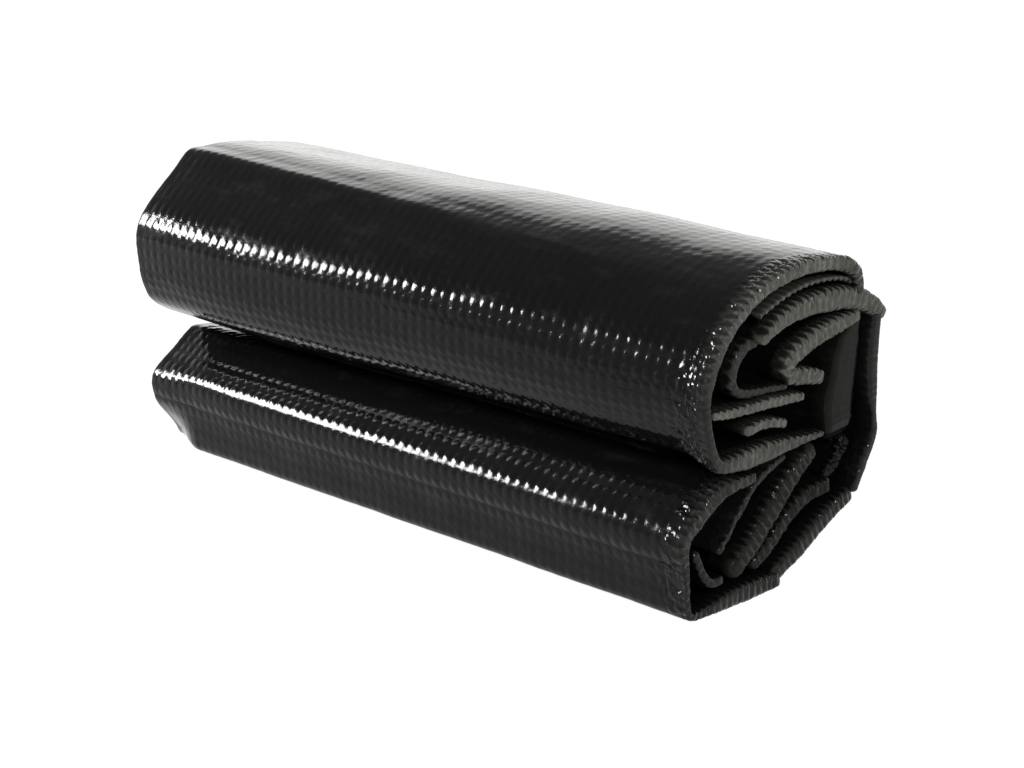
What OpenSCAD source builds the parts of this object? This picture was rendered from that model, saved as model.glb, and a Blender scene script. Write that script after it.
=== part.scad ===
// Bubble film solar blanket for a hot tub or small pool, folded and rolled into a
// two-lobed bundle. Every leaf is a fold of one film laminate. The leaves run along X,
// the open side of the bundle faces -Y, and the bundle rests on Z = 0.

/* [Bundle] */
// Length of the bundle along its folds
bundle_l = 780; // [600:10:1000]
// Depth that the fold routes are spread over, from the lower nose to the rear crease
bundle_d = 284; // [284:1:320]
// Height that the fold routes are spread over, from the floor to the crown
bundle_h = 306; // [306:1:340]

/* [Leaves] */
// Thickness of one ply of bubble film
ply_t = 4; // [3:0.5:5]
// Thickness of a two-ply leaf in the thin wrap round the upper lobe
wrap_t = 10; // [8:1:11]
// Thickness of a full two-ply leaf with a loose folded edge
leaf_t = 14; // [10:1:15]
// Thickness of the leaf under the crown, the fullest fold
crown_t = 17; // [12:1:17]

/* [Setback] */
// How far the cut edge of a single ply sits back from the folded ends
ply_setback = 14; // [0:1:40]
// How far the tucked leaves sit back from the folded ends
tuck_setback = 18; // [0:1:60]
// Length of the rear fold that stays turned up at the +X end
end_fold_l = 48; // [20:1:120]

/* [Hinge lines] */
// Radius cleared round the three fold lines that open
hinge_clear_r = 9; // [8.8:0.1:9.5]

/* [Hidden] */

nominal_d = 284;
nominal_h = 306;
depth_mid = 145;
end_x = bundle_l / 2;
smooth_passes = 2;
cap_steps = 6;
slit = 2;
film = "#17181a";
film_inner = "#232426";

// Points of a route are [distance back from the lower nose, height].
front_top_bend = [72, 268];
front_tip = [52, 134];
rear_crease = [284, 126.5];
under_root_t = leaf_t + 1;

// A route spread over the bundle's depth and height, and moved to the frame.
function placed(p) = [p[0] * bundle_d / nominal_d - depth_mid, p[1] * bundle_h / nominal_h];
function routed(path) = [for (p = path) placed(p)];

// Corner cutting: every pass replaces each corner by two points on its sides.
function cut_corners(p) = concat(
    [p[0]],
    [for (i = [0 : len(p) - 2], k = [0.25, 0.75]) p[i] * (1 - k) + p[i + 1] * k],
    [p[len(p) - 1]]
);
function smooth(p, passes) = passes == 0 ? p : smooth(cut_corners(p), passes - 1);

function run(p, i) = i == 0 ? 0 : run(p, i - 1) + norm(p[i] - p[i - 1]);
function heading(p, i) = p[min(i + 1, len(p) - 1)] - p[max(i - 1, 0)];
function side(p, i) = let (h = heading(p, i)) [-h[1], h[0]] / norm(h);
function half_t(p, i, t0, t1) = (t0 + (t1 - t0) * run(p, i) / run(p, len(p) - 1)) / 2;

// Half circle that closes the band round point c, from the side vector s clockwise.
function cap(c, r, s) = let (a = atan2(s[1], s[0])) [
    for (k = [1 : cap_steps - 1]) c + r * [cos(a - 180 * k / cap_steps), sin(a - 180 * k / cap_steps)]
];

// Closed outline of a band t0 thick at its first point and t1 at its last.
function band(p, t0, t1) = let (last = len(p) - 1) concat(
    [for (i = [0 : last]) p[i] + side(p, i) * half_t(p, i, t0, t1)],
    cap(p[last], t1 / 2, side(p, last)),
    [for (i = [last : -1 : 0]) p[i] - side(p, i) * half_t(p, i, t0, t1)],
    cap(p[0], t0 / 2, -side(p, 0))
);

// One leaf of the bundle, from x0 to x1.
module leaf(path, t0, t1, x0 = -end_x, x1 = end_x) {
    translate([x0, 0, 0])
        rotate([90, 0, 90])
            linear_extrude(x1 - x0)
                polygon(band(smooth(routed(path), smooth_passes), t0, t1));
}

// Room round a hinge line, so that the neighbouring leaf can turn about it.
module hinge_room(p) {
    translate([-end_x - 1, placed(p)[0], placed(p)[1]])
        rotate([0, 90, 0])
            cylinder(r = hinge_clear_r, h = bundle_l + 2, $fn = 48);
}

// ---- Outer wrap of the upper lobe ----

module top_flap() {
    color(film)
        difference() {
            leaf(
                [[238, 288], [215, 297], [185, 300.5], [150, 300], [115, 292], [88, 279], front_top_bend],
                wrap_t + 1, wrap_t
            );
            hinge_room(front_top_bend);
        }
}

module top_flap_ply() {
    color(film_inner)
        leaf(
            [[236, 276], [212, 284], [185, 287], [150, 286], [118, 276], [102, 267]],
            ply_t, ply_t, x1 = end_x - ply_setback
        );
}

module front_flap() {
    color(film)
        difference() {
            leaf(
                [front_top_bend, [58, 254], [45, 234], [36, 210], [35, 190], [41, 165], front_tip],
                wrap_t, wrap_t
            );
            hinge_room(front_tip);
        }
}

module under_flap() {
    color(film)
        leaf([front_tip, [62, 135], [95, 135], [140, 137], [175, 139], [200, 139]], under_root_t, ply_t + 2);
}

// ---- Leaves inside the upper lobe ----

module crown_leaf() {
    color(film)
        leaf(
            [[114, 245], [135, 256], [165, 263], [205, 264], [235, 260], [262, 251], [279, 238]],
            crown_t, crown_t - 1
        );
}

module upper_back_leaf() {
    color(film)
        difference() {
            leaf([[268, 212], [267, 190], [268, 165], [272, 133]], leaf_t + 4, leaf_t - 2);
            hinge_room(rear_crease);
        }
}

module inner_back_leaf() {
    color(film_inner)
        leaf(
            [[251, 226], [236, 205], [232, 180], [233, 152]],
            2 * ply_t, 2 * leaf_t - 2, x1 = end_x - tuck_setback
        );
}

module slant_leaf() {
    color(film)
        leaf([[246, 239], [215, 232], [180, 227], [150, 219]], leaf_t - 1, leaf_t + 2, x1 = end_x - slit);
}

module slant_return() {
    color(film)
        leaf([[150, 200], [168, 201], [196, 193]], leaf_t - 2, leaf_t, x1 = end_x - slit);
}

module crown_return() {
    color(film_inner)
        leaf(
            [[104, 230], [84, 234], [78, 222], [88, 206], [108, 204]],
            wrap_t, wrap_t - 2, x1 = end_x - ply_setback
        );
}

module upper_tongue() {
    color(film_inner)
        leaf([[50, 186], [80, 182], [115, 184], [168, 180]], ply_t + 3, 2 * ply_t);
}

module lower_tongue() {
    color(film_inner)
        leaf([[96, 163], [118, 166], [146, 160]], ply_t + 3, ply_t + 3, x1 = end_x - slit);
}

// ---- Outer wrap of the lower lobe ----

module lower_back_leaf() {
    color(film)
        difference() {
            leaf([[276, 117], [267, 103], [259, 90], [253, 78]], leaf_t - 2, wrap_t);
            hinge_room(rear_crease);
        }
}

module rear_slope_leaf() {
    color(film)
        leaf(
            [[242, 66], [220, 48], [200, 25], [185, leaf_t / 2], [144, leaf_t / 2]],
            leaf_t - 1, leaf_t, x1 = end_x - end_fold_l - slit
        );
}

module rear_slope_fold() {
    color(film)
        leaf(
            [[238, 69], [215, 58], [190, 45], [165, 31], [148, 22]],
            leaf_t + 1, leaf_t + 3, x0 = end_x - end_fold_l
        );
}

module bottom_leaf() {
    color(film)
        leaf([[128, leaf_t / 2], [100, leaf_t / 2], [70, leaf_t / 2], [40, leaf_t / 2]], leaf_t, leaf_t);
}

module lower_front_leaf() {
    color(film)
        leaf([[26, 5], [19, 34], [9, 62], [6, 76]], ply_t + 2, ply_t + 2);
}

module lower_top_leaf() {
    color(film)
        leaf([[12, 88], [26, 94], [44, 107], [66, 115], [100, 118]], leaf_t, wrap_t - 1);
}

// ---- Leaves inside the lower lobe ----

module back_tuck() {
    color(film_inner)
        leaf([[250, 114], [240, 98], [224, 92]], leaf_t + 2, wrap_t, x1 = end_x - tuck_setback);
}

module nose_tuck() {
    color(film_inner)
        leaf([[62, 28], [44, 26], [34, 44], [26, 62]], 2 * ply_t, 2 * ply_t, x1 = end_x - slit);
}

module fan_thin_ply() {
    color(film_inner)
        leaf(
            [[62, 60], [76, 77], [90, 92], [102, 106], [118, 117], [150, 126]],
            ply_t + 1, ply_t + 1, x1 = end_x - slit
        );
}

module fan_thick_leaf() {
    color(film)
        leaf([[86, 38], [110, 56], [128, 76], [145, 94], [165, 112], [184, 122]], leaf_t + 4, leaf_t);
}

module fan_rear_leaf() {
    color(film)
        leaf([[112, 36], [140, 54], [163, 74], [184, 86], [212, 87]], leaf_t, leaf_t, x1 = end_x - slit);
}

top_flap();
top_flap_ply();
front_flap();
under_flap();
crown_leaf();
upper_back_leaf();
inner_back_leaf();
slant_leaf();
slant_return();
crown_return();
upper_tongue();
lower_tongue();
lower_back_leaf();
back_tuck();
rear_slope_leaf();
rear_slope_fold();
bottom_leaf();
nose_tuck();
lower_front_leaf();
lower_top_leaf();
fan_thin_ply();
fan_thick_leaf();
fan_rear_leaf();
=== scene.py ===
"""Looks of the folded solar blanket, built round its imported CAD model.

Every leaf of the bundle is one skin of black bubble film. It runs along a route in the
bundle's section, is embossed by rows of bubbles, and is folded over at the end of the
bundle, where the stiff bubbles break the fold into triangular facets.
Lengths here are millimetres, and a section point is (distance back from the nose, height).
"""

import math

import bpy
import numpy as np
from mathutils import Matrix, Vector


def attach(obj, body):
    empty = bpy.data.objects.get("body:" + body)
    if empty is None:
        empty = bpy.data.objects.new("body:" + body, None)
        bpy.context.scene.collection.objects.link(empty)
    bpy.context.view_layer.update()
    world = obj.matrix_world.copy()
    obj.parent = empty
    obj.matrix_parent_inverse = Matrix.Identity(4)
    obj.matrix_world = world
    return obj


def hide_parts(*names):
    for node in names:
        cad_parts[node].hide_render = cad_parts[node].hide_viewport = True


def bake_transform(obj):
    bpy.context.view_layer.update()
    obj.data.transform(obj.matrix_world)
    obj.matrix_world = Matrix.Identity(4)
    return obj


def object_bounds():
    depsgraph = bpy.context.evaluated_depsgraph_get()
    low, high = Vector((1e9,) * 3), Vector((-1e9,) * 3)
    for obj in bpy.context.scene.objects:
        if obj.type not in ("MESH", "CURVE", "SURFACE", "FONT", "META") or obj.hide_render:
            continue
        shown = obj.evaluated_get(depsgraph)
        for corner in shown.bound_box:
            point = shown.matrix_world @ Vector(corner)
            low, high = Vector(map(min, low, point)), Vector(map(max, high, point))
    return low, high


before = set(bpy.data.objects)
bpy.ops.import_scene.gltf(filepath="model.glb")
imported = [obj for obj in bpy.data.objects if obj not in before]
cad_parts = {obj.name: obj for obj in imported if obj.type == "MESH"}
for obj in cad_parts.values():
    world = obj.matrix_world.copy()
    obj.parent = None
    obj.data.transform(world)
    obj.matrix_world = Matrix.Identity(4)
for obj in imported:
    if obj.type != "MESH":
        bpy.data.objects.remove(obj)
cad_low, cad_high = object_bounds()

# ---- Sizes ----
MM = 0.001
END_X = cad_high.x / MM
# How far back from the nose the frame's own y = 0 is.
DEPTH_MID = 145.0
FLOOR_GAP = 0.3

# The bubbles lie on a square grid. A disk has a sloping rim and a slight crown.
BUBBLES_ALONG = 62
PITCH = 2 * END_X / BUBBLES_ALONG
BUBBLE_R = 5.4
BUBBLE_RIM = 2.0
BUBBLE_H = 0.15
BUBBLE_CROWN = 0.07

# A cut edge shows the ply's thickness, and a lip of its inner face.
PLY = 3.6
LIP = 16.0

# Facets of the folded ends, and how far from the fold they and the whitening fade out.
FACET_PITCH = PITCH / 1.5
FACET_DEPTH = 0.95
FACET_SHARE = 0.14
FACET_FADE = 22.0
CREASE_FADE = 20.0

# How much the ends wander along X, how blunt a fold's section is, and slow swells and
# fine unevenness of the film.
END_WAVE = 2.1
BLUNT = 0.66
PUFF = 0.35
UNEVEN = 0.13

# Cells per bubble pitch: rows of every skin, and columns of a ply that shows, one that
# shows a little, one that shows when a flap opens, and one that shows only at its ends,
# which has fine columns in the end zones alone.
ROW_CELLS = 8
SHOWN, PARTLY, OPENED, ENDS = 8, 6, 4, 0
END_CELLS, END_ZONE = 6, 44.0

RNG = np.random.default_rng(41)
LATTICE = RNG.uniform(-1, 1, (64, 64))


# ---- Noise ----
def noise(u, v, layer=0):
    """Smooth value noise from -1 to 1 on a unit lattice. Layer picks another patch of it."""
    u, v = np.asarray(u, float) + 7.3 * layer, np.asarray(v, float) + 11.9 * layer
    iu, iv = np.floor(u).astype(int), np.floor(v).astype(int)
    fu, fv = u - iu, v - iv
    fu, fv = fu * fu * (3 - 2 * fu), fv * fv * (3 - 2 * fv)
    a, b = LATTICE[iu % 64, iv % 64], LATTICE[(iu + 1) % 64, iv % 64]
    c, d = LATTICE[iu % 64, (iv + 1) % 64], LATTICE[(iu + 1) % 64, (iv + 1) % 64]
    return (a * (1 - fu) + b * fu) * (1 - fv) + (c * (1 - fu) + d * fu) * fv


def ramp(x, low, high):
    """0 below low, 1 above high and smooth between. It falls where low is above high."""
    t = np.clip((np.asarray(x, float) - low) / (high - low), 0, 1)
    return t * t * (3 - 2 * t)


def bell(x, centre, width):
    """1 at the centre, falling away smoothly over the width on both sides."""
    return np.exp(-(((x - centre) / width) ** 2))


# ---- Routes ----
def cut_corners(points, passes=4):
    """The same corner cutting as in the CAD routes, with more passes."""
    p = np.array(points, float)
    for _ in range(passes):
        a, b = p[:-1], p[1:]
        cut = np.stack([a * 0.75 + b * 0.25, a * 0.25 + b * 0.75], 1).reshape(-1, 2)
        p = np.vstack([p[:1], cut, p[-1:]])
    return p


class Route:
    """A smooth line in the section. The film bends between its bubble rows, so the line is
    a polygon with one side a row, and its corners are a little rounded."""

    ROUNDING = 4.4

    def __init__(self, points):
        fine = cut_corners(points)
        s = np.r_[0, np.cumsum(np.linalg.norm(np.diff(fine, axis=0), axis=1))]
        self.length = s[-1]
        self.row_s = np.r_[np.arange(0, self.length - PITCH / 2, PITCH), self.length]
        self.row_p = np.stack([np.interp(self.row_s, s, fine[:, k]) for k in (0, 1)], 1)

    def on_polygon(self, s):
        inside = np.clip(s, 0, self.length)
        p = np.stack([np.interp(inside, self.row_s, self.row_p[:, k]) for k in (0, 1)], -1)
        first, last = self.row_p[1] - self.row_p[0], self.row_p[-1] - self.row_p[-2]
        first, last = first / np.linalg.norm(first), last / np.linalg.norm(last)
        before, after = np.minimum(s, 0), np.maximum(s - self.length, 0)
        return p + before[..., None] * first + after[..., None] * last

    def at(self, s):
        """Points at the distances s along the route, and the unit tangents there."""
        s = np.asarray(s, float)
        r = self.ROUNDING
        back, ahead = self.on_polygon(s - r), self.on_polygon(s + r)
        point = 0.5 * self.on_polygon(s) + 0.25 * (back + ahead)
        tangent = ahead - back
        return point, tangent / np.linalg.norm(tangent, axis=-1, keepdims=True)

    def row_near(self, section_point):
        """The place between two bubble rows that is nearest to a point of the section."""
        far = np.linalg.norm(self.row_p - np.array(section_point, float), axis=1)
        return float(self.row_s[np.argmin(far)])


# ---- Relief of the film ----
def bubbles(x, s):
    """Height of the shallow bubble disks on the film's outer face."""
    u = (x / PITCH) % 1 - 0.5
    v = (s / PITCH) % 1 - 0.5
    r = np.hypot(u, v) * PITCH
    disk = ramp(r, BUBBLE_R, BUBBLE_R - BUBBLE_RIM)
    return disk * (BUBBLE_H + BUBBLE_CROWN * (1 - (r / BUBBLE_R) ** 2))


def facets(s, turn, layer):
    """Ridges, from 1 to -1, that cross a folded end in diamonds, and teeth: 1 in the
    triangles that stand on either ply, 0 in the diamonds between them. Turn runs from 0 on
    the one ply to 1 on the other, and a ridge moves half a pitch along the fold by turn 0.5."""
    u = s / FACET_PITCH + 0.34 * noise(s / 17, turn, layer + 5)
    inward = 1 - np.abs(1 - 2 * turn)
    a = np.abs((u - inward / 2 + 0.5) % 1 - 0.5)
    b = np.abs((u + inward / 2 + 0.5) % 1 - 0.5)
    from_row = np.abs((u + 0.5) % 1 - 0.5)
    return 1 - 4 * np.minimum(a, b), ramp(from_row - inward / 2, -0.02, 0.06)


# Places where the film is crumpled: centre (x, distance back, height), radii and depth.
CRUMPLES = [
    ((370, 34, 196), (22, 24, 36), 4.6),
    ((384, 112, 216), (14, 22, 24), 3.0),
    ((388, 148, 208), (14, 18, 18), 2.4),
    ((384, 66, 66), (18, 26, 34), 4.5),
    ((372, 12, 40), (20, 26, 34), 3.2),
    ((-118, 30, 148), (46, 16, 10), 1.6),
    ((378, 250, 106), (22, 26, 34), 4.6),
]


def crumple(x, y, z, s, layer):
    """Sharp little dents near the crumpled places."""
    total = np.zeros(np.broadcast(x, y).shape)
    for (cx, cy, cz), (rx, ry, rz), depth in CRUMPLES:
        far = ((x - cx) / rx) ** 2 + ((y - cy) / ry) ** 2 + ((z - cz) / rz) ** 2
        near = np.exp(-1.2 * far)
        fold = 0.6 * np.abs(noise(x / 6, s / 8, layer)) + 0.4 * np.abs(noise(x / 4, s / 4, layer + 2))
        total += near * depth * (fold - 0.35)
    return total


# ---- The bundle's overall shape ----
def settle(x, y, z):
    """Moves section points as the real bundle differs from a straight prism: the upper
    lobe is fuller towards -X, its front edge lifts away from the +X end, the lower lobe's
    front corners are blunter at -X, and the film waves."""
    t = np.clip((END_X - x) / (2 * END_X), 0, 1)
    full = ramp(t, -0.15, 1.0) - ramp(0, -0.15, 1.0)

    # The upper lobe's front, with its shoulder, comes forward.
    front = ramp(y, 175, 25)
    shoulder = bell(z, 238, 24) - 0.8 * bell(z, 276, 15)
    dy = -full * front * (36 * ramp(z, 108, 160) + 12 * shoulder)

    # Its crest rises, with a sharper corner over the shoulder.
    dz = 24 * full * bell(y, 88, 62) * ramp(z, 185, 285)
    dz += 4 * full * bell(y, 60, 16) * ramp(z, 250, 285)
    dz += 7 * full * bell(y, 86, 13) * ramp(z, 250, 280)
    dz += 5.5 * ramp(t, 0, 0.3) * ramp(z, 190, 290)

    # Its front edge, over the gap between the lobes, lifts away from the +X end.
    lip = ramp(y, 100, 60) * ramp(z, 118, 130) * ramp(z, 215, 150)
    dz += 11 * lip * ramp(x, END_X - 4, END_X - 46)

    # The lower lobe's front corners at -X, at the floor and under the gap.
    dy += 25 * ramp(x, 70 - END_X, -END_X) * ramp(z, 54, 6) * ramp(y, 90, 35)
    dy += 9 * ramp(x, 90 - END_X, -END_X) * bell(z, 104, 22) * ramp(y, 90, 45)

    # Slow waves along X.
    dz += 0.7 * (np.sin(x / 61 + 0.9) + 0.6 * np.sin(x / 27 + 2.0)) * ramp(z, 40, 200)
    dy += 0.9 * np.sin(x / 74 + z / 90) * ramp(z, 10, 90)
    return y + dy, z + dz


# ---- Skins ----
def end_columns(x_end, toward, depth_first):
    """Columns that close a cut end: x places, and depths as shares of the ply."""
    turn = np.radians(np.array([0, 45, 90, 135, 180]))
    r = PLY / 2
    x = x_end - toward * r * (1 - np.sin(turn))
    depth = (1 - np.cos(turn)) / 2
    x = np.r_[x, x_end - toward * (r + LIP)]
    depth = np.r_[depth, 1.0]
    return (x[::-1], depth[::-1]) if depth_first else (x, depth)


def skin_columns(x_low, x_high, r_most, upper_cells, lower_cells, folded):
    """The columns of one leaf's skin, from the -X end of its outer ply, over the fold at
    the +X end and back to the -X end of its inner ply. A single ply isn't folded, and ends
    with a cut. A column has a kind (0 flat, 1 in the fold), a place along X, a turn from 0
    on the outer ply to 1 on the inner one, and a depth into the ply."""
    turns = np.linspace(0, 1, 13)
    kind, place, turn, depth = [], [], [], []

    def add(kinds, places, turns_, depths):
        kind.extend(np.broadcast_to(kinds, np.shape(turns_)))
        place.extend(np.broadcast_to(places, np.shape(turns_)))
        turn.extend(turns_)
        depth.extend(np.broadcast_to(depths, np.shape(turns_)))

    inner_low = x_low + PLY / 2
    inner_high = x_high - (r_most if folded else PLY / 2)

    def flat(cells):
        if cells != ENDS:
            count = int(round((inner_high - inner_low) * cells / PITCH))
            return np.linspace(inner_low, inner_high, count + 1)
        fine = np.arange(0, END_ZONE, PITCH / END_CELLS)
        middle = np.linspace(inner_low + END_ZONE, inner_high - END_ZONE, BUBBLES_ALONG - 6)
        return np.r_[inner_low + fine, middle, (inner_high - fine)[::-1]]

    x, d = end_columns(x_low, -1, True)
    add(0, x[:-1], np.zeros(len(x) - 1), d[:-1])
    x = flat(upper_cells)
    add(0, x, np.zeros(len(x)), 0)
    if folded:
        add(1, 0, turns[1:-1], 0)
        x = flat(lower_cells)[::-1]
        add(0, x, np.ones(len(x)), 0)
        x, d = end_columns(x_low, -1, False)
        add(0, x[1:], np.ones(len(x) - 1), d[1:])
    else:
        x, d = end_columns(x_high, 1, False)
        add(0, x[1:], np.zeros(len(x) - 1), d[1:])
    return tuple(np.array(a, float) for a in (kind, place, turn, depth))


def skin_rows(s_low, s_high, first, last):
    """The rows of a skin: places along the route, shifts past its ends, depths into the
    ply and shares of the leaf's half thickness. An end is cut, round or a seam."""
    step = PITCH / ROW_CELLS
    inside = np.arange(math.ceil(s_low / step + 0.4), math.floor(s_high / step - 0.4) + 1) * step
    s = np.r_[s_low, inside, s_high]
    rows = [np.stack([s, 0 * s, 0 * s, 0 * s + 1], 1)]

    def closing(kind, at, way):
        if kind == "round":
            a = np.radians(np.array([22, 45, 67, 86]))
            return np.stack([0 * a + at, way * np.sin(a), 0 * a, np.cos(a)], 1)
        a = np.radians(np.array([45, 90, 135, 180]))
        r = PLY / 2
        curl = np.stack([0 * a + at - way * r, way * r * np.sin(a), (1 - np.cos(a)) / 2, 0 * a + 1], 1)
        lip = [[at - way * (r + LIP), 0, 1, 1]]
        return np.vstack([curl, lip])

    if first != "seam":
        rows.insert(0, closing(first, s_low, -1)[::-1])
    if last != "seam":
        rows.append(closing(last, s_high, 1))
    return np.vstack(rows)


class Skin:
    """One leaf's skin, as a grid of section points in millimetres. Its rows follow the
    leaf's route, and its columns run along X, over the fold at +X and back."""

    def __init__(self, spec):
        self.spec = spec
        self.seed = spec["seed"]
        self.route = spec["route"]
        self.s_low, self.s_high = spec.get("span", (0, self.route.length))
        self.folded = spec.get("high_end", "fold") == "fold"
        self.x_low, self.x_high = -END_X, END_X - spec.get("tuck", 0)
        self.half_most = max(spec["thick"]) / 2
        columns = skin_columns(self.x_low, self.x_high, self.half_most, *spec["cells"], self.folded)
        kind, self.place, self.turn, self.depth = columns
        self.flat = kind == 0
        rows = skin_rows(self.s_low, self.s_high, *spec.get("ends", ("round", "round")))
        self.s, self.shift, self.row_depth, self.share = (rows[:, k:k + 1] for k in range(4))
        self.half = self.along("thick") / 2
        self.centre = self.wandering_centre()

        # Fade is 1 over the fold and falls to 0 along the flats beside it. Across goes on
        # from the turn in the fold, below 0 on the outer flat and above 1 on the inner one.
        to_fold = np.where(self.flat, self.x_high - self.half_most - self.place, 0)
        self.fade = np.clip(1 - to_fold / FACET_FADE, 0, 1) * self.folded
        beside = np.where(self.turn < 0.5, self.fade - 1, 2 - self.fade)
        across = np.where(self.flat, beside, self.turn)
        self.beads = 0.5 + 0.5 * np.cos(2 * np.pi * self.s / FACET_PITCH)
        self.ridge, self.teeth = facets(self.s, across, self.seed)
        if not self.folded:
            self.ridge, self.teeth = 2 * self.beads - 1 + 0 * across, 0.5 + 0 * self.teeth

    def along(self, key):
        """A spec's values, evenly spaced along the leaf's span."""
        values = self.spec.get(key, (1, 1))
        return np.interp(self.s, np.linspace(self.s_low, self.s_high, len(values)), values)

    def wandering_centre(self):
        """Each column's place along X, or that of the fold's axis, as the ends wander."""
        wave = END_WAVE * (0.5 + 0.5 * noise(self.s / 33, 0 * self.s, self.seed))
        near_high = ramp(self.place, self.x_high - 60, self.x_high)
        near_low = ramp(self.place, self.x_low + 60, self.x_low)
        on_flat = self.place - wave * near_high + wave * near_low
        return np.where(self.flat, on_flat, self.x_high - wave - self.half)

    def relief(self):
        """How far the film stands out from the leaf's smooth face: its bubbles, the facets
        of its fold, and its own unevenness."""
        to_end = np.where(self.flat, np.minimum(self.place - self.x_low, self.x_high - self.place), 0)
        bumps = bubbles(self.centre + END_X, self.s) * np.where(self.flat, ramp(to_end, 2, 12), 0)
        deep = np.minimum(FACET_DEPTH, FACET_SHARE * self.half) * self.along("facets")
        deep = deep * (0.85 + 0.6 * noise(self.s / 9, self.turn * 1.5, self.seed + 8))
        relief = bumps * self.along("relief") + self.fade * deep * (self.ridge - 0.25)
        relief = relief + PUFF * noise(self.centre / 38, self.s / 34, self.seed) * (self.fade < 1)
        relief = relief + UNEVEN * noise(self.centre / 9, self.s / 9, self.seed + 3)
        creased = self.fade * self.along("facets") * noise(self.s / 5, self.turn * 4, self.seed + 11)
        return relief + 0.5 * creased

    def inward(self):
        """How far the rows and columns that close a cut edge lie inside the ply. The edge
        is thicker at each bubble."""
        ply = np.minimum(PLY, 0.8 * self.half) if self.folded else 2 * self.half
        beads_across = 0.5 + 0.5 * np.cos(2 * np.pi * (self.centre + END_X) / PITCH)
        beads = np.where(self.row_depth > 0, beads_across, self.beads)
        return np.maximum(self.depth, self.row_depth) * ply * (0.62 + 0.38 * beads)

    def reach(self):
        """The distance of the skin from the leaf's middle face."""
        inward = self.inward()
        middle = np.where(self.flat, ramp(END_X - np.abs(self.place), 22, 110), 0)
        swell = np.where(self.turn < 0.5, *self.spec.get("swell", (0, 0)))
        full = (self.half + swell * middle) * self.share - inward
        return full + self.relief() * self.share * (inward <= 0)

    def points(self):
        """The grid's points, settled and crumpled as the bundle is."""
        side, cosine = np.sin(np.pi * self.turn), np.cos(np.pi * self.turn)
        blunt = self.spec.get("blunt", BLUNT)
        out_x = np.where(self.flat, 0, np.abs(side) ** blunt)
        out_n = np.where(self.flat, 1 - 2 * self.turn, np.sign(cosine) * np.abs(cosine) ** blunt)
        reach = self.reach()
        x = self.centre + out_x * reach + 0 * self.s

        def placed(route, s):
            point, tangent = route.at(s[:, 0])
            normal = np.stack([-tangent[:, 1], tangent[:, 0]], 1) * self.spec["outside"]
            shift = self.shift * np.where(self.share < 1, self.half, 1)
            y = point[:, :1] + tangent[:, :1] * shift + normal[:, :1] * reach * out_n
            z = point[:, 1:] + tangent[:, 1:] * shift + normal[:, 1:] * reach * out_n
            return y, z

        y, z = placed(self.route, self.s)
        if "away" in self.spec:
            other = self.spec["away"]["route"]
            y2, z2 = placed(other, self.s / self.route.length * other.length)
            w = ramp(x, *self.spec["away"]["over"])
            y, z = y * (1 - w) + y2 * w, z * (1 - w) + z2 * w
        dent = crumple(x, y, z, self.s, self.seed)
        y, z = settle(x, y + dent * 0.7, z - dent * 0.3)
        return np.stack([x, y, np.maximum(z, FLOOR_GAP)], -1)

    def crease(self):
        """How much the film turns white near its folded end: most on the ridges of the fold, a good deal on
        the diamonds between them, little on the teeth, and less away from the end. The ridge and diamond
        pattern is white creases. Each leaf's share, which scales it, is painted light and shade: large
        where the upper lobe's folded ends catch the light, small where the lower lobe's ends, the inner
        back leaf and the top wrap's back end lie in shade."""
        to_end = np.where(self.flat, self.x_high - self.place, 0)
        pattern = 0.14 + 0.46 * (1 - self.teeth) + 0.4 * ramp(self.ridge, 0.4, 0.9)
        lines = np.minimum(1, 2 * self.along("facets"))
        near = np.clip(1 - to_end / CREASE_FADE, 0, 1)
        return near * (1 - lines + lines * pattern) * self.along("whitened")

    def crisp(self):
        """The columns where the film has broken into flat facets."""
        return self.fade > 0


def skin_mesh(name, skin):
    """A mesh of quads over a skin's grid, moved to the frame. It is smooth apart from the crisp columns.
    Its attribute tells the materials where the film turns white at its creases and where light and shade
    are painted on it."""
    points, crease, crisp = skin.points(), skin.crease(), skin.crisp()
    rows, cols = points.shape[:2]
    co = points.reshape(-1, 3) - np.array([0, DEPTH_MID, 0])
    index = np.arange(rows * cols).reshape(rows, cols)
    quads = np.stack([index[:-1, :-1], index[:-1, 1:], index[1:, 1:], index[1:, :-1]], -1)
    smooth = np.broadcast_to(~(crisp[:-1] & crisp[1:]), quads.shape[:2]).ravel()
    quads = quads.reshape(-1, 4)
    if skin.spec["outside"] > 0:
        quads = quads[:, ::-1]
    mesh = bpy.data.meshes.new(name)
    mesh.vertices.add(len(co))
    mesh.vertices.foreach_set("co", (co * MM).astype(np.float32).ravel())
    mesh.loops.add(quads.size)
    mesh.loops.foreach_set("vertex_index", quads.astype(np.int32).ravel())
    mesh.polygons.add(len(quads))
    mesh.polygons.foreach_set("loop_start", np.arange(0, quads.size, 4, dtype=np.int32))
    mesh.polygons.foreach_set("use_smooth", smooth)
    mesh.update(calc_edges=True)
    # This attribute holds white creases and painted light and shade on the folded ends.
    whitened_and_lit_layer = mesh.attributes.new("crease", "FLOAT", "POINT")
    whitened_and_lit_layer.data.foreach_set("value", crease.astype(np.float32).ravel())
    obj = bpy.data.objects.new(name, mesh)
    bpy.context.scene.collection.objects.link(obj)
    return obj


# ---- Materials ----
# The grey of film turned white at its creases. Mixed in by each leaf's share, it also paints light on the
# folded ends that catch it.
WHITENED_AND_LIT = (0.125, 0.126, 0.110)
# Added roughness where the film is scuffed, and where it turns white at its creases and light is painted on
# it.
SCUFF_ROUGHNESS, WHITENED_AND_LIT_ROUGHNESS = 0.16, 0.12


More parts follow.
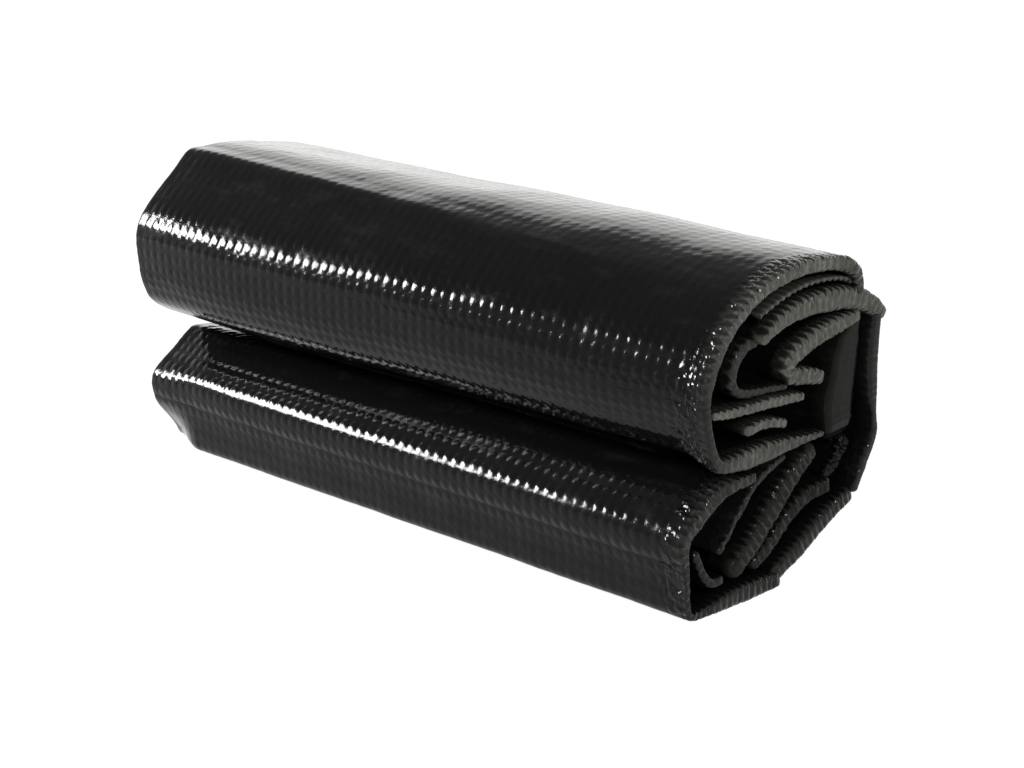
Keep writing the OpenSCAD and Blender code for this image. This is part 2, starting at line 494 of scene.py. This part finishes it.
def film(name, base, gloss, roughness, scuff):
    """Glossy black polyethylene film: a smooth skin with fine crinkles, faint scuffs that are duller and
    greyer, a slow change of gloss, and creases that turn white and matt. The same white grey, laid on by
    the mesh's attribute, also paints light and shade on the folded ends."""
    material = bpy.data.materials.new(name)
    material.use_nodes = True
    nodes, links = material.node_tree.nodes, material.node_tree.links
    shader = nodes["Principled BSDF"]
    shader.inputs["IOR"].default_value = 1.5
    shader.inputs["Specular IOR Level"].default_value = gloss
    place = nodes.new("ShaderNodeTexCoord")

    def noise_of(scale, detail, stretch=(1, 1, 1)):
        mapping = nodes.new("ShaderNodeMapping")
        mapping.inputs["Scale"].default_value = stretch
        links.new(place.outputs["Object"], mapping.inputs["Vector"])
        node = nodes.new("ShaderNodeTexNoise")
        node.inputs["Scale"].default_value = scale
        node.inputs["Detail"].default_value = detail
        links.new(mapping.outputs["Vector"], node.inputs["Vector"])
        return node.outputs["Fac"]

    def ranged(source, low, high, at_low, at_high):
        node = nodes.new("ShaderNodeMapRange")
        node.inputs["From Min"].default_value = low
        node.inputs["From Max"].default_value = high
        node.inputs["To Min"].default_value = at_low
        node.inputs["To Max"].default_value = at_high
        links.new(source, node.inputs["Value"])
        return node.outputs["Result"]

    def calculated(operation, *values):
        node = nodes.new("ShaderNodeMath")
        node.operation = operation
        for socket, value in zip(node.inputs, values):
            if isinstance(value, float):
                socket.default_value = value
            else:
                links.new(value, socket)
        return node.outputs["Value"]

    def coloured(amount, none, full):
        node = nodes.new("ShaderNodeMix")
        node.data_type = "RGBA"
        links.new(amount, node.inputs["Factor"])
        if isinstance(none, tuple):
            node.inputs["A"].default_value = (*none, 1)
        else:
            links.new(none, node.inputs["A"])
        node.inputs["B"].default_value = (*full, 1)
        return node.outputs["Result"]

    scuffed = ranged(noise_of(55, 6, (0.35, 1, 1)), 0.55, 0.8, 0, 1)
    crease = nodes.new("ShaderNodeAttribute")
    crease.attribute_name = "crease"
    mottle = ranged(noise_of(160, 3), 0.3, 0.7, 0.55, 1)
    # Painted light and shade as well as white creases: the mesh attribute, mottled, mixes the base towards
    # the white grey.
    whitened_and_lit_share = calculated("MULTIPLY", crease.outputs["Fac"], mottle)
    colour = coloured(whitened_and_lit_share, coloured(scuffed, base, scuff), WHITENED_AND_LIT)
    links.new(colour, shader.inputs["Base Color"])

    rough = ranged(noise_of(7, 3), 0.3, 0.7, *roughness)
    rough = calculated("MULTIPLY_ADD", scuffed, SCUFF_ROUGHNESS, rough)
    rough = calculated("MULTIPLY_ADD", whitened_and_lit_share, WHITENED_AND_LIT_ROUGHNESS, rough)
    links.new(rough, shader.inputs["Roughness"])

    bump = nodes.new("ShaderNodeBump")
    bump.inputs["Strength"].default_value = 0.22
    bump.inputs["Distance"].default_value = 0.0006
    links.new(noise_of(330, 4), bump.inputs["Height"])
    links.new(bump.outputs["Normal"], shader.inputs["Normal"])
    return material


MATERIALS = {
    "outer_film": film("outer_film", (0.0022, 0.0022, 0.0024), 0.13, (0.07, 0.13), (0.006, 0.006, 0.006)),
    "tucked_film": film("tucked_film", (0.002, 0.0022, 0.002), 0.07, (0.14, 0.24), (0.007, 0.007, 0.0065)),
    "cut_edge_film": film("cut_edge_film", (0.004, 0.0043, 0.004), 0.1, (0.18, 0.3), (0.012, 0.012, 0.011)),
}

# ---- Leaves ----
# The outer wrap of the upper lobe is one run of film: from its free edge at the back, over
# the top, down the front, round the tip and back between the lobes.
WRAP = Route([
    (250, 262), (249, 275), (243, 286), (232, 293), (215, 298), (185, 300.5), (150, 300), (115, 292),
    (88, 279), (72, 268), (58, 254), (45, 234), (36, 210), (35, 190), (41, 165), (52, 137),
    (64, 136), (95, 136), (130, 137), (165, 138), (200, 138),
])
WRAP_CUT = WRAP.row_near((35, 200))

# The outer wrap of the lower lobe runs over its top, round the nose, down the front and
# along the floor.
LOWER_WRAP = Route([
    (102, 117), (72, 116), (56, 112), (42, 104), (28, 93), (14, 84), (9, 74), (12, 58),
    (15, 36), (16, 13), (17, 4.5), (36, 5), (58, 7), (78, 9), (104, 9), (140, 10),
])
NOSE_CUT = LOWER_WRAP.row_near((13, 55))
FLOOR_CUT = LOWER_WRAP.row_near((48, 6))

REAR = Route([
    (276, 238), (273, 214), (272, 190), (273, 165), (276, 143), (281, 127), (275, 112),
    (268, 102), (260, 88), (252, 74),
])
REAR_SLOPE = Route([(243, 68), (222, 51), (200, 27), (183, 9.5), (140, 9.5)])
REAR_SLOPE_END = Route([(245, 67), (224, 60), (202, 49), (174, 34), (144, 17)])
STAGE_FLOOR = "stage_floor"


def leaf(points, thick, outside, replaces, body, rests_on, **more):
    """A tucked leaf that shows only at its ends."""
    return dict(
        dict(cells=(OPENED, ENDS), slot="tucked_film", swell=(7, 7)), route=Route(points), thick=thick,
        outside=outside, replaces=replaces, body=body, rests_on=rests_on, **more,
    )


# Each leaf's share of the white grey at its folded end paints light and shade as well as white creases. It
# is large where the upper lobe's folded ends catch the light, and small where the lower lobe's ends, the
# inner back leaf and the top wrap's back end lie in shade.
LEAVES = {
    "top_wrap": dict(
        route=WRAP, span=(0, WRAP_CUT), thick=(12, 14, 14, 14, 13, 12, 11, 10), outside=-1,
        cells=(SHOWN, OPENED), ends=("cut", "seam"), slot="outer_film", replaces=["top_flap"],
        blend=("top_flap", "front_flap", (102, 287), (48, 240)), rests_on=["top_ply", "crown_fold"],
        whitened=(0.2, 0.7, 1, 1, 1, 0.9, 0.7, 0.4, 0.1), facets=(1, 1, 1, 1, 1, 0.8, 0.5, 0.3),
        relief=(0.75, 0.75, 0.75, 0.75, 0.75, 0.9, 1.6, 2.2),
    ),
    "front_wrap": dict(
        route=WRAP, span=(WRAP_CUT, WRAP.length), thick=(10, 10, 11, 15, 20, 19, 14, 8, 5),
        outside=-1, cells=(SHOWN, OPENED), ends=("seam", "round"), slot="outer_film",
        replaces=["front_flap", "under_flap"],
        blend=("front_flap", "upper_pack", (42, 168), (84, 134)), rests_on=["lower_top_wrap"],
        whitened=(0.1, 0.1, 0.2, 0.7, 0.8, 0.7, 0.6, 0.4), facets=(0.3, 0.2, 0.3, 0.8, 1, 1, 1, 1),
        relief=(2.2, 1.4, 1, 1, 1, 1), swell=(0, 9),
    ),
    "top_ply": leaf(
        [(256, 267), (241, 276), (224, 281), (205, 283), (171, 282), (143, 276), (110, 264)],
        (5, 5), -1, ["top_flap_ply"], "top_flap", ["crown_fold"], tuck=6, high_end="cut",
        ends=("cut", "cut"), slot="cut_edge_film", swell=(0, 0),
    ),
    "crown_fold": leaf(
        [(112, 243), (135, 256), (165, 263), (205, 264), (238, 261), (266, 252), (283, 239)],
        (8, 16, 20, 22, 22, 21, 15), 1, ["crown_leaf"], "upper_pack", ["slant_fold"], cells=(PARTLY, ENDS),
        swell=(0, 10),
    ),
    "slant_fold": leaf(
        [(248, 241), (220, 237), (190, 231), (160, 220), (147, 210), (153, 200), (170, 199), (196, 193)],
        (12, 17, 19, 19, 17, 16, 14), -1, ["slant_leaf", "slant_return"], "upper_pack",
        ["upper_tongue_fold"], tuck=2, swell=(22, 11),
    ),
    "crown_curl": leaf(
        [(108, 240), (93, 240), (83, 227), (76, 212), (80, 199), (98, 194), (126, 193), (152, 191)],
        (9, 13, 12, 10, 8, 7, 6), -1, ["crown_return"], "upper_pack", ["upper_tongue_fold"], tuck=8,
        facets=(0.5, 0.5), whitened=(0.3, 0.3), swell=(7, 20),
    ),
    "upper_tongue_fold": leaf(
        [(46, 187), (80, 183), (115, 184), (168, 180)],
        (8, 9, 10, 8), 1, ["upper_tongue"], "upper_pack", ["lower_tongue_fold"], slot="cut_edge_film",
        swell=(10, 14),
    ),
    "lower_tongue_fold": leaf(
        [(96, 162), (118, 166), (146, 159)],
        (9, 9), 1, ["lower_tongue"], "upper_pack", ["front_wrap"], tuck=2, slot="cut_edge_film",
        swell=(16, 16),
    ),
    "inner_back_fold": leaf(
        [(257, 237), (246, 224), (241, 200), (238, 176), (234, 156), (236, 141)],
        (4, 30, 37, 40, 44, 40), 1, ["inner_back_leaf"], "upper_pack", ["rear_wrap"], tuck=8,
        facets=(0.12, 0.12), whitened=(0.05, 0.05), blunt=0.34, swell=(3, 34),
    ),
    "rear_wrap": dict(
        route=REAR, thick=(14, 16, 17, 16, 14, 7, 10, 12, 12, 10), outside=1,
        cells=(SHOWN, OPENED), slot="outer_film", replaces=["upper_back_leaf", "lower_back_leaf"],
        blend=("upper_pack", "lower_pack", (272, 150), (270, 104)), rests_on=["rear_slope"],
        facets=(0.3, 0.3), whitened=(0.08, 0.08), swell=(0, 9),
    ),
    "back_tuck_fold": leaf(
        [(252, 116), (242, 100), (226, 92)],
        (16, 12), 1, ["back_tuck"], "lower_pack", ["fan_rear_fold"], tuck=14, slot="outer_film",
        facets=(1.8, 1.8), whitened=(0.04, 0.04), swell=(3, 16),
    ),
    "rear_slope": dict(
        route=REAR_SLOPE, away=dict(route=REAR_SLOPE_END, over=(300, 352)),
        thick=(15, 18, 19, 19, 18), outside=1, cells=(SHOWN, ENDS), slot="outer_film",
        replaces=["rear_slope_leaf", "rear_slope_fold"], body="lower_pack", rests_on=[STAGE_FLOOR],
        facets=(0.7, 0.7), whitened=(0.13, 0.13), swell=(0, 14),
    ),
    "lower_top_wrap": dict(
        route=LOWER_WRAP, span=(0, NOSE_CUT), thick=(9, 12, 16, 18, 17, 14, 8), outside=-1,
        cells=(SHOWN, ENDS), ends=("round", "seam"), slot="outer_film",
        replaces=["lower_top_leaf"], body="lower_pack", rests_on=["fan_thin_ply_fold"],
        whitened=(0.22, 0.22), relief=(1, 1, 1, 1.6, 2.4, 2.4), swell=(0, 9),
    ),
    "lower_front_wrap": dict(
        route=LOWER_WRAP, span=(NOSE_CUT, FLOOR_CUT), thick=(8, 6, 6, 7, 10), outside=-1,
        cells=(SHOWN, ENDS), ends=("seam", "seam"), slot="outer_film",
        replaces=["lower_front_leaf"], body="lower_pack", rests_on=[STAGE_FLOOR],
        whitened=(0.12, 0.12), relief=(2.0, 1, 1, 1), swell=(0, 7),
    ),
    "bottom_wrap": dict(
        route=LOWER_WRAP, span=(FLOOR_CUT, LOWER_WRAP.length), thick=(10, 16, 18, 18, 16), outside=-1,
        cells=(PARTLY, ENDS), ends=("seam", "round"), slot="outer_film",
        replaces=["bottom_leaf"], body="lower_pack", rests_on=[STAGE_FLOOR],
        facets=(0.7, 0.7), whitened=(0.14, 0.14), swell=(0, 7),
    ),
    "nose_tuck_fold": leaf(
        [(62, 30), (46, 28), (36, 44), (28, 62)],
        (9, 9), 1, ["nose_tuck"], "lower_pack", ["bottom_wrap"], tuck=2, facets=(0.4, 0.4),
        whitened=(0.05, 0.05), swell=(2, 16), slot="outer_film",
    ),
    "fan_thin_ply_fold": leaf(
        [(60, 58), (76, 77), (90, 92), (102, 106), (118, 117), (146, 127)],
        (6, 7, 6), 1, ["fan_thin_ply"], "lower_pack", ["fan_thick_fold"], tuck=2, slot="cut_edge_film",
        whitened=(0.1, 0.1), swell=(18, 5),
    ),
    "fan_thick_fold": leaf(
        [(83, 36), (106, 53), (126, 75), (146, 93), (166, 110), (186, 123)],
        (20, 24, 25, 22, 16), 1, ["fan_thick_leaf"], "lower_pack", ["fan_rear_fold"],
        whitened=(0.12, 0.12), swell=(18, 10),
    ),
    "fan_rear_fold": leaf(
        [(112, 34), (138, 51), (163, 71), (186, 82), (214, 84)],
        (14, 16, 17, 15), 1, ["fan_rear_leaf"], "lower_pack", ["rear_slope"], tuck=2, whitened=(0.09, 0.09),
        swell=(5, 20),
    ),
}


def make_leaf(name, spec):
    """Makes one leaf's piece with its material, ties it to its body unless it is one that blends between
    two (those stay in the frame), and hides the CAD parts it replaces.
    """
    skin = Skin(spec)
    piece = skin_mesh(name, skin)
    piece.data.materials.append(MATERIALS[spec["slot"]])
    if "blend" in spec:
        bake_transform(piece)
    else:
        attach(piece, spec["body"])
    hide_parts(*spec["replaces"])
    width = skin.s_high - skin.s_low
    for kind, full in zip(spec.get("ends", ("round", "round")), (spec["thick"][0], spec["thick"][-1])):
        width += full * math.pi / 4 if kind == "round" else 0


# ---- Studio ----
WHITE, SIDE, WHITE_UP_TO = 1.8, 0.7, 0.38
DIM, DIM_FROM = 0.42, 0.56


def make_world():
    """A white backdrop behind and to the left, with dimmer sides and a dimmer ceiling."""
    world = bpy.data.worlds.new("studio")
    bpy.context.scene.world = world
    world.use_nodes = True
    nodes, links = world.node_tree.nodes, world.node_tree.links
    place = nodes.new("ShaderNodeTexCoord")
    split = nodes.new("ShaderNodeSeparateXYZ")
    links.new(place.outputs["Generated"], split.inputs["Vector"])
    dimming = nodes.new("ShaderNodeMapRange")
    dimming.interpolation_type = "SMOOTHSTEP"
    dimming.inputs["From Min"].default_value = WHITE_UP_TO
    dimming.inputs["From Max"].default_value = DIM_FROM
    dimming.inputs["To Max"].default_value = DIM
    links.new(split.outputs["Z"], dimming.inputs["Value"])
    side = nodes.new("ShaderNodeVectorMath")
    side.operation = "DOT_PRODUCT"
    side.inputs[1].default_value = (-0.7, 0.7, 0)
    links.new(place.outputs["Generated"], side.inputs[0])
    side_white = nodes.new("ShaderNodeMapRange")
    side_white.inputs["From Min"].default_value = -0.2
    side_white.inputs["From Max"].default_value = 0.6
    side_white.inputs["To Min"].default_value = SIDE
    side_white.inputs["To Max"].default_value = WHITE
    links.new(side.outputs["Value"], side_white.inputs["Value"])
    links.new(side_white.outputs["Result"], dimming.inputs["To Min"])
    links.new(dimming.outputs["Result"], nodes["Background"].inputs["Strength"])
    nodes["Background"].inputs["Color"].default_value = (1, 0.995, 0.985, 1)


def make_floor():
    bpy.ops.mesh.primitive_circle_add(vertices=96, radius=14, fill_type="NGON")
    floor = bpy.context.object
    floor.name = STAGE_FLOOR
    material = bpy.data.materials.new("pale_floor")
    material.use_nodes = True
    shader = material.node_tree.nodes["Principled BSDF"]
    shader.inputs["Base Color"].default_value = (0.15, 0.15, 0.15, 1)
    shader.inputs["Roughness"].default_value = 0.9
    shader.inputs["Specular IOR Level"].default_value = 0.0
    shader.inputs["Emission Color"].default_value = (1, 1, 1, 1)
    shader.inputs["Emission Strength"].default_value = 0.93
    floor.data.materials.append(material)


def make_softbox(name, toward, distance, size, power):
    """A soft box that lights the bundle from the direction toward."""
    light = bpy.data.lights.new(name, "AREA")
    light.shape = "RECTANGLE"
    light.size, light.size_y = size
    light.energy = power
    lamp = bpy.data.objects.new(name, light)
    bpy.context.scene.collection.objects.link(lamp)
    direction = Vector(toward).normalized()
    lamp.location = direction * distance + Vector((0, 0, 0.15))
    lamp.rotation_mode = "QUATERNION"
    lamp.rotation_quaternion = direction.to_track_quat("Z", "Y")


def make_camera():
    """The camera in front of the +X end, above the bundle."""
    data = bpy.data.cameras.new("camera")
    data.sensor_width = 36
    data.lens = 84.375
    camera = bpy.data.objects.new("camera", data)
    bpy.context.scene.collection.objects.link(camera)
    forward = Vector((-0.68462, 0.67541, -0.27409)).normalized()
    right = forward.cross(Vector((0, 0, 1))).normalized()
    up = right.cross(forward)
    camera.matrix_world = Matrix.Translation((1.6958, -1.6387, 0.7906)) @ Matrix(
        (right, up, -forward)
    ).transposed().to_4x4()
    bpy.context.scene.camera = camera


make_camera()
make_world()
make_floor()
make_softbox("softbox_left", (-0.76, -0.53, 0.36), 3.0, (1.1, 0.66), 170)
make_softbox("softbox_right", (0.86, -0.30, 0.42), 2.5, (0.25, 0.25), 26)
bpy.context.scene.view_settings.view_transform = "Standard"

for number, (leaf_name, leaf_spec) in enumerate(LEAVES.items()):
    leaf_spec["seed"] = number
    make_leaf(leaf_name, leaf_spec)
